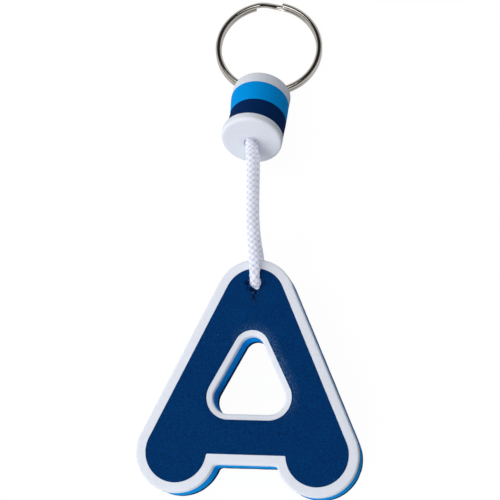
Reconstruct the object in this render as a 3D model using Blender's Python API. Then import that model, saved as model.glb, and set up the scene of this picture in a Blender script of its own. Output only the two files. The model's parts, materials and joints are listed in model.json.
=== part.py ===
"""Floating keychain: a split ring, a laminated foam float, a doubled cord and a foam plate.

The part lies on a table. +Z is up, +Y runs from the plate to the ring, and the origin is on the plate's
back face, in the middle of the bar below its window. The cord passes under the top of the plate, which
tips the plate by a few degrees, so the table is just below the origin.
"""
import math

import bmesh
import bpy
from mathutils import Vector

MM = 0.001

# Plate: two legs and a bar with round ends, cut from laminated foam
FOOT_SPACING = 36.4 * MM
APEX_HEIGHT = 40.2 * MM
STROKE_RADIUS = 10.5 * MM
NOTCH_DEPTH = 7.5 * MM
NOTCH_FILLET = 1.2 * MM
BAR_CENTRE_HEIGHT = 3.5 * MM
FRONT_LAYER = 2.0 * MM
MIDDLE_LAYER = 5.0 * MM
BACK_LAYER = 2.0 * MM
GLUE_LINE = 0.3 * MM

# Window in the plate: the outline round three circles
WINDOW_SPREAD = 10.4 * MM
WINDOW_LOW_RADIUS = 4.4 * MM
WINDOW_TOP_RADIUS = 3.2 * MM
WINDOW_LOW_HEIGHT = 14.2 * MM
WINDOW_TOP_HEIGHT = 27.0 * MM

# Printed field on the front layer
BORDER = 2.5 * MM
WINDOW_RIM = 1.5 * MM
PRINT_FILLET = 0.4 * MM
PRINT_THICKNESS = 0.25 * MM
PRINT_GAP = 0.15 * MM

# Cord and its holes
CORD_DIAMETER = 2.9 * MM
CORD_CLEARANCE = 0.35 * MM
CORD_SQUEEZE = 0.74
CORD_HOLE_RISE = 4.4 * MM
STRAND_GAP = 0.3 * MM

# Float: four laminated discs on the doubled cord, narrower and a little off centre at the navy one
FLOAT_DIAMETER = 16.2 * MM
WAIST_DIAMETER = 15.6 * MM
WAIST_SHIFT = 0.55 * MM
END_DIAMETER = 16.6 * MM
END_SHIFT = 0.1 * MM
TOP_DISC = 4.0 * MM
BLUE_DISC = 6.7 * MM
NAVY_DISC = 6.1 * MM
BOTTOM_DISC = 2.4 * MM
DISC_ROUNDING = 0.8 * MM
FLOAT_TILT = math.radians(22.0)
FLOAT_TURN = math.radians(-2.0)
FLOAT_X = -2.7 * MM
CORD_SPAN = 56.3 * MM
MOUTH_DROP = 2.8 * MM
EXIT_DROP = 1.1 * MM

# Split key ring: flat wire in two turns
RING_DIAMETER = 30.5 * MM
WIRE_WIDTH = 1.7 * MM
WIRE_THICKNESS = 1.15 * MM
WIRE_CHAMFER = 0.28 * MM
TURN_GAP = 0.2 * MM
CRANK_SPAN = math.radians(25.5)
CRANK_END_GAP = math.radians(2.5)
CRANK_PLACE = math.radians(93.2)
RING_ROLL = math.radians(8.0)
RING_TURN = math.radians(-1.2)
EYE_REACH = 2.8 * MM
EYE_LEVEL = 4.6 * MM

TABLE_CLEARANCE = 0.05 * MM
ARC_STEP = math.radians(8.0)
RING_STEP = math.radians(6.0)
DISC_SIDES = 40
HOLE_SIDES = 20

FOOT_LINE = -BAR_CENTRE_HEIGHT
PLATE_THICKNESS = FRONT_LAYER + MIDDLE_LAYER + BACK_LAYER
HOLE_RADIUS = CORD_DIAMETER / 2 + CORD_CLEARANCE
HOLE_Y = FOOT_LINE + APEX_HEIGHT + CORD_HOLE_RISE
PLATE_LEVER = APEX_HEIGHT + CORD_HOLE_RISE + HOLE_RADIUS + STROKE_RADIUS
PLATE_TILT = math.asin((CORD_DIAMETER + STRAND_GAP + 2 * TABLE_CLEARANCE) / PLATE_LEVER)
TABLE_Z = (FOOT_LINE - STROKE_RADIUS) * math.sin(PLATE_TILT)
FLOAT_TOP_LEVEL = FLOAT_DIAMETER / 2 * math.cos(FLOAT_TILT) + TABLE_CLEARANCE
FLOAT_TOP = Vector((FLOAT_X, HOLE_Y + CORD_SPAN, TABLE_Z + FLOAT_TOP_LEVEL))
BORE_RADIUS = CORD_DIAMETER * CORD_SQUEEZE + STRAND_GAP / 2 + CORD_CLEARANCE

# Route of the cord, chosen by hand: X, Y, Z in millimetres and the share of the full diameter
CORD_ROUTE = (
    (-2.75, 90.0, 8.42, 0.74), (-2.75, 92.3, 7.44, 0.74), (-2.72, 93.45, 6.77, 0.74),
    (-2.7, 94.6, 5.45, 0.75), (-2.7, 95.45, 4.05, 0.76), (-2.7, 96.6, 2.5, 0.76), (-2.7, 98.1, 1.2, 0.76),
    (-2.7, 99.9, 0.75, 0.76), (-2.7, 101.3, 1.6, 0.76), (-2.7, 102.2, 3.1, 0.76), (-2.7, 102.0, 4.8, 0.76),
    (-2.7, 101.0, 6.2, 0.76), (-2.7, 99.4, 6.95, 0.76), (-2.7, 97.7, 7.7, 0.75), (-2.84, 95.7, 8.7, 0.74),
    (-3.27, 89.5, 11.2, 0.74), (-3.7, 81.25, 13.45, 0.74), (-3.65, 79.2, 14.05, 0.77),
    (-2.9, 75.8, 15.1, 0.93), (-2.2, 71.0, 16.1, 0.95), (-1.3, 57.0, 15.7, 0.95),
    (-0.75, 51.0, 14.7, 0.97), (0.05, 43.8, 13.8, 1.0), (0.1, 41.6, 13.35, 0.95),
    (0.05, 40.55, 11.7, 0.92), (0.0, 40.5, 9.4, 0.9), (0.0, 40.9, 3.4, 0.9), (-0.1, 41.3, 1.75, 0.9),
    (-0.3, 42.8, 0.82, 0.93), (-0.7, 45.4, 0.85, 1.0), (-1.15, 48.3, 1.08, 1.0), (-1.5, 51.3, 2.5, 0.97),
    (-1.7, 54.0, 5.4, 0.95), (-1.75, 57.5, 8.7, 0.95), (-1.7, 62.0, 11.2, 0.95), (-1.9, 71.5, 12.6, 0.95),
    (-2.2, 75.0, 12.2, 0.93), (-2.4, 76.9, 12.0, 0.84), (-2.63, 78.5, 11.75, 0.77),
    (-2.72, 85.2, 10.2, 0.74),
)
CORD_SAMPLES_PER_SPAN = 2


def clear_scene():
    """Remove the objects of the open scene."""
    for thing in list(bpy.data.objects):
        bpy.data.objects.remove(thing)


def material(name, colour, roughness, metallic=0.0):
    """Make a plain Principled material."""
    made = bpy.data.materials.new(name)
    made.use_nodes = True
    shader = made.node_tree.nodes["Principled BSDF"]
    shader.inputs["Base Color"].default_value = (*colour, 1.0)
    shader.inputs["Roughness"].default_value = roughness
    shader.inputs["Metallic"].default_value = metallic
    return made


def add_mesh(name, bm, finish, parent=None, smooth_below=None):
    """Turn a bmesh into a named object."""
    bmesh.ops.recalc_face_normals(bm, faces=bm.faces[:])
    mesh = bpy.data.meshes.new(name)
    bm.to_mesh(mesh)
    bm.free()
    if smooth_below is not None:
        mesh.shade_smooth()
        mesh.set_sharp_from_angle(angle=smooth_below)
    made = bpy.data.objects.new(name, mesh)
    made.data.materials.append(finish)
    made.parent = parent
    bpy.context.collection.objects.link(made)
    return made


def add_frame(name, location, rotation):
    """Add an empty that carries a group of pieces."""
    frame = bpy.data.objects.new(name, None)
    frame.location = location
    frame.rotation_euler = rotation
    bpy.context.collection.objects.link(frame)
    return frame


def arc(centre, radius, start, end, step=ARC_STEP):
    """Points of an arc from the start angle to the end angle, both included."""
    count = max(2, math.ceil(abs(end - start) / step))
    angles = [start + (end - start) * i / count for i in range(count + 1)]
    return [(centre[0] + radius * math.cos(a), centre[1] + radius * math.sin(a)) for a in angles]


def mirrored(points):
    """The same points on the other side of the plate's middle line, in reverse order."""
    return [(-x, y) for x, y in reversed(points)]


def plate_outline(inset, corner):
    """Outline of the plate, or of the printed field inside it, with the notch's corners rounded."""
    radius = STROKE_RADIUS - inset
    foot = (FOOT_SPACING / 2, FOOT_LINE)
    apex = (0.0, FOOT_LINE + APEX_HEIGHT)
    notch = FOOT_LINE - STROKE_RADIUS + NOTCH_DEPTH + inset
    leg_normal = math.atan2(FOOT_SPACING / 2, APEX_HEIGHT)
    reach = math.sqrt((radius + corner) ** 2 - (foot[1] - notch + corner) ** 2)
    fillet = (foot[0] - reach, notch - corner)
    meeting = math.atan2(foot[1] - fillet[1], foot[0] - fillet[0])
    right = arc(fillet, corner, math.pi / 2, meeting)
    right += arc(foot, radius, meeting + math.pi, leg_normal + 2 * math.pi)[1:]
    right += arc(apex, radius, leg_normal, math.pi / 2)
    return right + mirrored(right)[1:]


def window_outline(rim):
    """Outline of the window, widened by the rim: tangents round three circles."""
    low = (WINDOW_SPREAD / 2, FOOT_LINE + WINDOW_LOW_HEIGHT)
    top = (0.0, FOOT_LINE + WINDOW_TOP_HEIGHT)
    side = math.atan2(top[1] - low[1], top[0] - low[0])
    lean = math.asin((WINDOW_LOW_RADIUS - WINDOW_TOP_RADIUS) / math.dist(low, top))
    tangent = side - math.pi / 2 + lean
    right = arc(low, WINDOW_LOW_RADIUS + rim, -math.pi / 2, tangent)
    right += arc(top, WINDOW_TOP_RADIUS + rim, tangent, math.pi / 2)
    return right + mirrored(right)[1:]


def cord_hole_outline():
    """Outline of the round hole that the cord goes through."""
    return arc((0.0, HOLE_Y), HOLE_RADIUS, 0.0, 2 * math.pi, 2 * math.pi / HOLE_SIDES)[:-1]


def pierced_sheet(outlines, bottom, thickness):
    """A flat sheet with holes: the first outline is its edge and the others are cut through."""
    bm = bmesh.new()
    edges = []
    for outline in outlines:
        ring = [bm.verts.new((x, y, bottom)) for x, y in outline]
        edges += [bm.edges.new((ring[i - 1], ring[i])) for i in range(len(ring))]
    bmesh.ops.triangle_fill(bm, use_beauty=True, use_dissolve=False, edges=edges)
    lifted = bmesh.ops.extrude_face_region(bm, geom=bm.faces[:])["geom"]
    risen = [item for item in lifted if isinstance(item, bmesh.types.BMVert)]
    bmesh.ops.translate(bm, vec=(0.0, 0.0, thickness), verts=risen)
    return bm


def build_plate(foam_white, foam_blue, foam_navy, ink):
    """The plate's three foam layers and the printed field."""
    frame = add_frame("plate_frame", (0.0, 0.0, 0.0), (PLATE_TILT, 0.0, 0.0))
    cut = [plate_outline(0.0, NOTCH_FILLET), window_outline(0.0), cord_hole_outline()]
    middle_bottom = BACK_LAYER + GLUE_LINE / 2
    front_bottom = BACK_LAYER + MIDDLE_LAYER + GLUE_LINE / 2
    front_top = PLATE_THICKNESS
    layers = (
        ("plate_back_layer", 0.0, BACK_LAYER - GLUE_LINE / 2, foam_navy),
        ("plate_middle_layer", middle_bottom, BACK_LAYER + MIDDLE_LAYER - GLUE_LINE / 2, foam_blue),
        ("plate_front_layer", front_bottom, front_top, foam_white),
    )
    for name, bottom, top, finish in layers:
        add_mesh(name, pierced_sheet(cut, bottom, top - bottom), finish, frame, math.radians(30.0))
    field = [plate_outline(BORDER, PRINT_FILLET), window_outline(WINDOW_RIM), cord_hole_outline()]
    skin = pierced_sheet(field, front_top + PRINT_GAP, PRINT_THICKNESS)
    add_mesh("plate_front_print", skin, ink, frame, math.radians(30.0))


def bore_point(angle, high_drop, low_drop):
    """Point of the round bore for both strands, with its high and its low side lowered by their drops."""
    x = BORE_RADIUS * math.cos(angle)
    y = BORE_RADIUS * math.sin(angle)
    return x, y + (low_drop if y > 0 else high_drop)


def disc(profile, upper, lower):
    """A foam disc along its profile of (inset, height) from bottom to top, bored for the cord.

    Each end is the rim's diameter, its shift to the right and the drops of the bore's high and low side.
    """
    bm = bmesh.new()
    angles = [2 * math.pi * (i + 0.5) / DISC_SIDES for i in range(DISC_SIDES)]
    bottom, top = profile[0][1], profile[-1][1]
    loops = []
    for inset, height in profile:
        share = (height - bottom) / (top - bottom)
        radius = (lower[0] + (upper[0] - lower[0]) * share) / 2 - inset
        shift = lower[1] + (upper[1] - lower[1]) * share
        rim = [(shift + radius * math.cos(a), radius * math.sin(a)) for a in angles]
        loops.append([bm.verts.new((x, y, height)) for x, y in rim])
    for height, drops in ((top, upper[2:]), (bottom, lower[2:])):
        bore = [bore_point(a, *drops) for a in angles]
        loops.append([bm.verts.new((x, y, height)) for x, y in bore])
    for first, second in zip(loops, loops[1:] + loops[:1]):
        for i in range(DISC_SIDES):
            bm.faces.new((first[i - 1], first[i], second[i], second[i - 1]))
    return bm


def edge_profile(bottom, top, round_bottom, round_top):
    """Outline of a disc's rim from bottom to top, with soft edges where asked."""
    bend = [math.pi / 2 * i / 3 for i in range(4)]
    low = [(DISC_ROUNDING * (1 - math.sin(a)), bottom + DISC_ROUNDING * (1 - math.cos(a))) for a in bend]
    high = [(DISC_ROUNDING * (1 - math.cos(a)), top - DISC_ROUNDING * (1 - math.sin(a))) for a in bend]
    return (low if round_bottom else [(0.0, bottom)]) + (high if round_top else [(0.0, top)])


def build_float(foam_white, foam_blue, foam_navy):
    """The float's four discs, from the ring's end to the plate's end."""
    frame = add_frame("float_frame", FLOAT_TOP, (-math.pi / 2 - FLOAT_TILT, 0.0, FLOAT_TURN))
    sag = EXIT_DROP * NAVY_DISC / (NAVY_DISC + BOTTOM_DISC)
    mouth = (FLOAT_DIAMETER, 0.0, 0.0, MOUTH_DROP)
    neck = (FLOAT_DIAMETER, 0.0, 0.0, 0.0)
    waist = (WAIST_DIAMETER, WAIST_SHIFT, 0.0, 0.0)
    navy_end = (WAIST_DIAMETER, WAIST_SHIFT, sag, sag)
    white_start = (END_DIAMETER, END_SHIFT, sag, sag)
    white_end = (END_DIAMETER, END_SHIFT, EXIT_DROP, EXIT_DROP)
    discs = (
        ("float_top_disc", TOP_DISC, foam_white, mouth, neck),
        ("float_blue_disc", BLUE_DISC, foam_blue, neck, waist),
        ("float_navy_disc", NAVY_DISC, foam_navy, waist, navy_end),
        ("float_bottom_disc", BOTTOM_DISC, foam_white, white_start, white_end),
    )
    top = 0.0
    for index, (name, thickness, finish, upper, lower) in enumerate(discs):
        first = index == 0
        last = index == len(discs) - 1
        high = top - (0.0 if first else GLUE_LINE / 2)
        low = top - thickness + (0.0 if last else GLUE_LINE / 2)
        bm = disc(edge_profile(low, high, last, first), upper, lower)
        add_mesh(name, bm, finish, frame, math.radians(40.0))
        top -= thickness


def ring_pitch():
    """Slope of the ring from the cord's eye down to the table, found by halving."""
    wire_radius = (RING_DIAMETER - WIRE_WIDTH) / 2
    half_height = WIRE_THICKNESS + TURN_GAP / 2
    low, high = 0.0, math.radians(45.0)
    for _ in range(40):
        pitch = (low + high) / 2
        flat = math.cos(pitch) * math.cos(RING_ROLL)
        slope = math.sqrt(1 - flat**2)
        level = wire_radius * math.sin(pitch) * math.cos(RING_ROLL)
        level += RING_DIAMETER / 2 * slope + half_height * flat + TABLE_CLEARANCE
        low, high = (pitch, high) if level < EYE_LEVEL else (low, pitch)
    return pitch


def eye_centre():
    """Middle of the cord's eye, where the ring's wire goes through it."""
    drop = TABLE_Z + EYE_LEVEL - FLOAT_TOP.z
    along = (EYE_REACH + drop * math.sin(FLOAT_TILT)) / math.cos(FLOAT_TILT)
    return Vector((FLOAT_X, FLOAT_TOP.y + along, TABLE_Z + EYE_LEVEL))


def wire_section():
    """Corners of the wire's flat section as pairs of outward and upward offset."""
    w = WIRE_WIDTH / 2
    h = WIRE_THICKNESS / 2
    c = WIRE_CHAMFER
    outer = ((w, -h + c), (w, h - c), (w - c, h))
    inner = ((-w + c, h), (-w, h - c), (-w, -h + c), (-w + c, -h))
    return (*outer, *inner, (w - c, -h))


def build_ring(steel):
    """The split ring: a turn above, the crank, and a turn below, in one length of wire."""
    turn = 2 * math.pi - CRANK_SPAN - CRANK_END_GAP
    length = 2 * turn + CRANK_SPAN
    wire_radius = (RING_DIAMETER - WIRE_WIDTH) / 2
    rise = (WIRE_THICKNESS + TURN_GAP) / 2
    count = math.ceil(length / RING_STEP)
    bm = bmesh.new()
    loops = []
    for i in range(count + 1):
        travelled = length * i / count
        share = min(1.0, max(0.0, (travelled - turn) / CRANK_SPAN))
        level = rise * math.cos(math.pi * share)
        angle = CRANK_PLACE - (CRANK_SPAN + CRANK_END_GAP) / 2 - travelled
        loop = []
        for out, up in wire_section():
            x = (wire_radius + out) * math.cos(angle)
            y = wire_radius + (wire_radius + out) * math.sin(angle)
            loop.append(bm.verts.new((x, y, level + up)))
        loops.append(loop)
    for first, second in zip(loops, loops[1:]):
        for i in range(len(first)):
            bm.faces.new((first[i - 1], first[i], second[i], second[i - 1]))
    bm.faces.new(loops[0])
    bm.faces.new(list(reversed(loops[-1])))
    ring = add_mesh("key_ring", bm, steel, None, math.radians(50.0))
    ring.location = eye_centre()
    ring.rotation_euler = (-ring_pitch(), RING_ROLL, RING_TURN)


def smooth_route():
    """Points of the cord's line, read from a smooth curve through its route."""
    route = [Vector(point) for point in CORD_ROUTE]
    padded = [2 * route[0] - route[1]] + route + [2 * route[-1] - route[-2]]
    points = []
    for before, start, end, after in zip(padded, padded[1:], padded[2:], padded[3:]):
        for step in range(CORD_SAMPLES_PER_SPAN):
            t = step / CORD_SAMPLES_PER_SPAN
            point = start * 2 + (end - before) * t
            point += (2 * before - 5 * start + 4 * end - after) * t**2
            point += (3 * start - before - 3 * end + after) * t**3
            points.append(point / 2)
    return points + [route[-1]]


def build_cord(fibre):
    """The doubled cord, as one tube from the float round the ring, back through the float and the plate."""
    points = smooth_route()
    curve = bpy.data.curves.new("cord", "CURVE")
    curve.dimensions = "3D"
    curve.bevel_depth = CORD_DIAMETER / 2
    curve.bevel_resolution = 2
    curve.use_fill_caps = True
    spline = curve.splines.new("POLY")
    spline.points.add(len(points) - 1)
    for knot, (x, y, z, share) in zip(spline.points, points):
        knot.co = (x * MM, y * MM, z * MM, 1.0)
        knot.radius = share
    cord = bpy.data.objects.new("cord", curve)
    curve.materials.append(fibre)
    bpy.context.collection.objects.link(cord)


def main():
    """Build the keychain."""
    clear_scene()
    foam_white = material("white_foam", (0.80, 0.82, 0.88), 0.75)
    foam_blue = material("blue_foam", (0.0, 0.28, 0.72), 0.75)
    foam_navy = material("navy_foam", (0.008, 0.035, 0.12), 0.75)
    ink = material("navy_print", (0.003, 0.04, 0.14), 0.6)
    steel = material("nickel_steel", (0.62, 0.60, 0.57), 0.2, 1.0)
    fibre = material("white_cord", (0.82, 0.83, 0.90), 0.8)
    build_plate(foam_white, foam_blue, foam_navy, ink)
    build_float(foam_white, foam_blue, foam_navy)
    build_ring(steel)
    build_cord(fibre)


if __name__ == "__main__":
    main()
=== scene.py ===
"""Floating keychain: the dressed pieces of the ring, the cord, the float and the plate.

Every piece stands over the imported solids, in metres, in the same frame: +Z up from the table, +Y from the
plate to the ring. Sizes in the classes below repeat the solids' own sizes.
"""
from __future__ import annotations

import json
import logging
import math
from dataclasses import dataclass
from enum import Enum
from typing import Callable

import bmesh
import bpy
from mathutils import Euler, Matrix, Vector, noise

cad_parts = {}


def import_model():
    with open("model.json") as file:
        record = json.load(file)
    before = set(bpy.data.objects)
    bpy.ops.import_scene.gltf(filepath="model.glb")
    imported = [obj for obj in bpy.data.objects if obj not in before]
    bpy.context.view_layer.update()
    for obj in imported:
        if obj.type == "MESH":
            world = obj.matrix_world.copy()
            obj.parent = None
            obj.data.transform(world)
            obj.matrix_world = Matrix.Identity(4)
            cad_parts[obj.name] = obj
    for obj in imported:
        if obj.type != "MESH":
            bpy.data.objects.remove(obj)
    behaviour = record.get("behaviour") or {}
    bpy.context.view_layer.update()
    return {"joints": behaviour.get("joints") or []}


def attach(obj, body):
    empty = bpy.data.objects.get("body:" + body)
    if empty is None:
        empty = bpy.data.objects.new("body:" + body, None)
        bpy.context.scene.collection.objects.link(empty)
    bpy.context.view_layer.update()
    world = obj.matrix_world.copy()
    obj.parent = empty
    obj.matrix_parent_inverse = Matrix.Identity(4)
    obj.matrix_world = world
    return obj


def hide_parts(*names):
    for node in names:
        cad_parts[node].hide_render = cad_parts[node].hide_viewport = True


MM = 0.001

Point = tuple[float, float]
Colour = tuple[float, float, float]
Contour = Callable[[float], list[Point]]

log = logging.getLogger("keychain")


class Body(Enum):
    """Bodies of the frame that the pieces ride on."""

    FLOAT_AND_PLATE = "float_and_plate"
    RING = "ring"


class Slot(Enum):
    """Material slots that the pieces take their finish from."""

    WHITE_FOAM = "white_foam"
    BLUE_FOAM = "blue_foam"
    NAVY_FOAM = "navy_foam"
    NAVY_PRINT = "navy_print"
    NICKEL_STEEL = "nickel_steel"
    WHITE_CORD = "white_cord"


class Flow(Enum):
    """Indices of the Mix node's sockets for a colour and for a number: A, B and the result."""

    RGBA = (6, 7, 2)
    FLOAT = (2, 3, 0)


class Graph:
    """A shader tree that is filled node by node."""

    def __init__(self, tree: bpy.types.NodeTree) -> None:
        """Keep the tree to fill."""
        self.tree = tree

    def node(self, kind: str, inputs: dict | None = None, **settings: object) -> bpy.types.Node:
        """Add a node.

        Args:
            kind: The node's type, such as ShaderNodeMath.
            inputs: Socket name or index, with a value or the socket that feeds it.
            settings: Properties of the node.

        Returns:
            The new node.
        """
        made = self.tree.nodes.new(kind)
        for name, value in settings.items():
            setattr(made, name, value)
        self.feed(made, inputs or {})
        return made

    def feed(self, node: bpy.types.Node, inputs: dict) -> None:
        """Give a node's sockets their values, or link the sockets that feed them."""
        for key, value in inputs.items():
            if isinstance(value, bpy.types.NodeSocket):
                self.tree.links.new(value, node.inputs[key])
            else:
                node.inputs[key].default_value = value

    def group(self, shared: bpy.types.NodeTree, inputs: dict) -> bpy.types.NodeOutputs:
        """Place a shared group, feed it and return its outputs."""
        return self.node("ShaderNodeGroup", inputs, node_tree=shared).outputs

    def math(self, operation: str, *values: object) -> bpy.types.NodeSocket:
        """Join numbers with a Math node and return its result."""
        return self.node("ShaderNodeMath", dict(enumerate(values)), operation=operation).outputs[0]

    def span(self, value: bpy.types.NodeSocket, source: Point, target: Point) -> bpy.types.NodeSocket:
        """Map a number from one range to another, held at its ends.

        Args:
            value: The number.
            source: Range that it comes from.
            target: Range that it goes to.

        Returns:
            The mapped number.
        """
        ranges = {"Value": value, "From Min": source[0], "From Max": source[1]}
        ranges |= {"To Min": target[0], "To Max": target[1]}
        return self.node("ShaderNodeMapRange", ranges, interpolation_type="SMOOTHSTEP").outputs["Result"]

    def mix(self, flow: Flow, share: object, first: object, second: object) -> bpy.types.NodeSocket:
        """Blend two colours or numbers.

        Args:
            flow: Whether colours or numbers are blended.
            share: Share of the second one.
            first: The one at share 0.
            second: The one at share 1.

        Returns:
            The blend.
        """
        low, high, result = flow.value
        inputs = {0: share, low: first, high: second}
        return self.node("ShaderNodeMix", inputs, data_type=flow.name).outputs[result]

    def place(self) -> bpy.types.NodeSocket:
        """The point on the piece, in metres."""
        return self.node("ShaderNodeTexCoord").outputs["Object"]

    def attribute(self, name: str) -> bpy.types.NodeSocket:
        """A number that the mesh carries."""
        return self.node("ShaderNodeAttribute", attribute_name=name).outputs["Fac"]

    def bump(self, height: bpy.types.NodeSocket, distance: float) -> bpy.types.NodeSocket:
        """A normal tilted by a height, in metres."""
        return self.node("ShaderNodeBump", {"Height": height, "Distance": distance}).outputs["Normal"]

    def noise(self, scale: object, detail: float = 2.0) -> bpy.types.NodeSocket:
        """Soft noise over the piece, about 0.5, with features of 1/scale metres."""
        inputs = {"Vector": self.place(), "Scale": scale, "Detail": detail}
        return self.node("ShaderNodeTexNoise", inputs).outputs["Fac"]


def shader_group(name: str, inputs: dict[str, object], outputs: dict[str, str]) -> tuple:
    """Start a node group with named sockets.

    Args:
        name: The group's name.
        inputs: Name and default value of each input, a colour as four numbers.
        outputs: Name and socket type of each output.

    Returns:
        The group's tree, its graph, its input sockets and the node that takes its outputs.
    """
    tree = bpy.data.node_groups.new(name, "ShaderNodeTree")
    for label, value in inputs.items():
        kind = "NodeSocketColor" if isinstance(value, tuple) else "NodeSocketFloat"
        tree.interface.new_socket(label, in_out="INPUT", socket_type=kind).default_value = value
    for label, kind in outputs.items():
        tree.interface.new_socket(label, in_out="OUTPUT", socket_type=kind)
    graph = Graph(tree)
    return tree, graph, graph.node("NodeGroupInput").outputs, graph.node("NodeGroupOutput")


@dataclass(frozen=True)
class Effects:
    """Node groups that several finishes share."""

    grain: bpy.types.NodeTree
    specks: bpy.types.NodeTree

    @classmethod
    def build(cls) -> Effects:
        """Build the groups once."""
        return cls(grain=cls.build_grain(), specks=cls.build_specks())

    @staticmethod
    def build_grain() -> bpy.types.NodeTree:
        """Fine cells and soft patches of shade on a colour.

        Returns:
            Group with Colour, Roughness and Height.
        """
        inputs = {
            "Colour": (0.8, 0.8, 0.8, 1.0),
            "Cells per Metre": 2800.0,
            "Cell Contrast": 0.1,
            "Patch Contrast": 0.08,
            "Smoothest": 0.7,
            "Roughest": 0.9,
        }
        outputs = {"Colour": "NodeSocketColor", "Roughness": "NodeSocketFloat", "Height": "NodeSocketFloat"}
        tree, graph, given, put = shader_group("Cell grain", inputs, outputs)
        fine = graph.noise(given["Cells per Metre"], 3.0)
        patch = graph.noise(170.0, 3.0)
        cell_scale = graph.math("MULTIPLY", given["Cells per Metre"], 0.6)
        cells = graph.node("ShaderNodeTexVoronoi", {"Vector": graph.place(), "Scale": cell_scale})
        shade = graph.math("MULTIPLY", graph.math("SUBTRACT", fine, 0.5), given["Cell Contrast"])
        cloud = graph.math("MULTIPLY", graph.math("SUBTRACT", patch, 0.5), given["Patch Contrast"])
        gain = graph.math("ADD", 1.0, graph.math("ADD", shade, cloud))
        tinted = graph.node("ShaderNodeVectorMath", {0: given["Colour"], "Scale": gain}, operation="SCALE")
        rough = graph.mix(Flow.FLOAT, fine, given["Smoothest"], given["Roughest"])
        height = graph.math("ADD", graph.math("MULTIPLY", cells.outputs["Distance"], 0.6), fine)
        graph.feed(put, {"Colour": tinted.outputs[0], "Roughness": rough, "Height": height})
        return tree

    @staticmethod
    def build_specks() -> bpy.types.NodeTree:
        """Sparse small specks of another colour.

        Returns:
            Group with Colour and Mask.
        """
        inputs = {
            "Colour": (0.8, 0.8, 0.8, 1.0),
            "Speck Colour": (0.5, 0.5, 0.5, 1.0),
            "Cells per Metre": 900.0,
            "Share of Cells": 0.1,
            "Speck Size": 0.12,
            "Strength": 0.6,
        }
        outputs = {"Colour": "NodeSocketColor", "Mask": "NodeSocketFloat"}
        tree, graph, given, put = shader_group("Specks", inputs, outputs)
        scale = given["Cells per Metre"]
        cells = graph.node("ShaderNodeTexVoronoi", {"Vector": graph.place(), "Scale": scale})
        drawn = graph.node("ShaderNodeSeparateColor", {0: cells.outputs["Color"]}).outputs[0]
        chosen = graph.math("LESS_THAN", drawn, given["Share of Cells"])
        near = graph.math("LESS_THAN", cells.outputs["Distance"], given["Speck Size"])
        mask = graph.math("MULTIPLY", graph.math("MULTIPLY", chosen, near), given["Strength"])
        mixed = graph.mix(Flow.RGBA, mask, given["Colour"], given["Speck Colour"])
        graph.feed(put, {"Colour": mixed, "Mask": mask})
        return tree


def new_material(name: str) -> tuple[bpy.types.Material, Graph, bpy.types.Node]:
    """Start a material.

    Args:
        name: The material's name.

    Returns:
        The material, its graph and its Principled shader.
    """
    made = bpy.data.materials.new(name)
    made.use_nodes = True
    return made, Graph(made.node_tree), made.node_tree.nodes["Principled BSDF"]


@dataclass(frozen=True)
class FoamFinish:
    """Closed-cell foam, coloured through: matte, with fine pores and a few specks."""

    name: str
    colour: Colour
    speck_colour: Colour
    cell_contrast: float = 0.14
    patch_contrast: float = 0.10
    specular: float = 0.06
    pore_depth: float = 0.04 * MM

    def build(self, effects: Effects) -> bpy.types.Material:
        """Build the foam's material.

        Args:
            effects: The shared groups.

        Returns:
            The material.
        """
        material, graph, shader = new_material(self.name)
        inputs = {"Colour": (*self.colour, 1.0), "Cell Contrast": self.cell_contrast}
        grain = graph.group(effects.grain, inputs | {"Patch Contrast": self.patch_contrast})
        inputs = {"Colour": grain["Colour"], "Speck Colour": (*self.speck_colour, 1.0)}
        specks = graph.group(effects.specks, inputs | {"Strength": 0.35, "Share of Cells": 0.05})
        graph.feed(shader, {
            "Base Color": specks["Colour"],
            "Roughness": grain["Roughness"],
            "Normal": graph.bump(grain["Height"], self.pore_depth),
            "Specular IOR Level": self.specular,
        })
        return material


@dataclass(frozen=True)
class PrintFinish:
    """Navy ink on foam: a fine grain, pale specks, lighter specks of worn ink and painted sheen where the
    window's edge is rolled, and painted shade in the creases.
    """

    name: str = "navy_ink"
    colour: Colour = (0.0005, 0.031, 0.128)
    wear_and_sheen_colour: Colour = (0.10, 0.17, 0.27)
    crease_shade_colour: Colour = (0.0, 0.004, 0.025)
    speck_colour: Colour = (0.16, 0.26, 0.40)
    specular: float = 0.03

    def build(self, effects: Effects) -> bpy.types.Material:
        """Build the ink's material.

        Args:
            effects: The shared groups.

        Returns:
            The material.
        """
        material, graph, shader = new_material(self.name)
        inputs = {"Colour": (*self.colour, 1.0), "Cells per Metre": 2300.0, "Cell Contrast": 1.5}
        grain = graph.group(effects.grain, inputs | {"Patch Contrast": 0.25})
        inputs = {"Colour": grain["Colour"], "Speck Colour": (*self.speck_colour, 1.0)}
        inputs |= {"Cells per Metre": 1100.0, "Speck Size": 0.10, "Share of Cells": 0.03}
        specks = graph.group(effects.specks, inputs)
        # Lighter specks on the window's rolled rim: partly worn ink, partly a painted sheen.
        dots = graph.span(graph.noise(3600.0, 2.0), (0.44, 0.68), (0.0, 1.0))
        mark_share = graph.math("MULTIPLY", graph.attribute("rim_wear_and_sheen"), dots)
        colour = graph.mix(Flow.RGBA, mark_share, specks["Colour"], (*self.wear_and_sheen_colour, 1.0))
        # Painted shade: the ink turns near black with the depth of the creases beside and below the cord's
        # hole.
        colour = graph.mix(Flow.RGBA, graph.attribute("crease_shade"), colour, (*self.crease_shade_colour, 1.0))
        graph.feed(shader, {
            "Base Color": colour,
            "Roughness": grain["Roughness"],
            "Normal": graph.bump(grain["Height"], 0.02 * MM),
            "Specular IOR Level": self.specular,
        })
        return material


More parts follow.
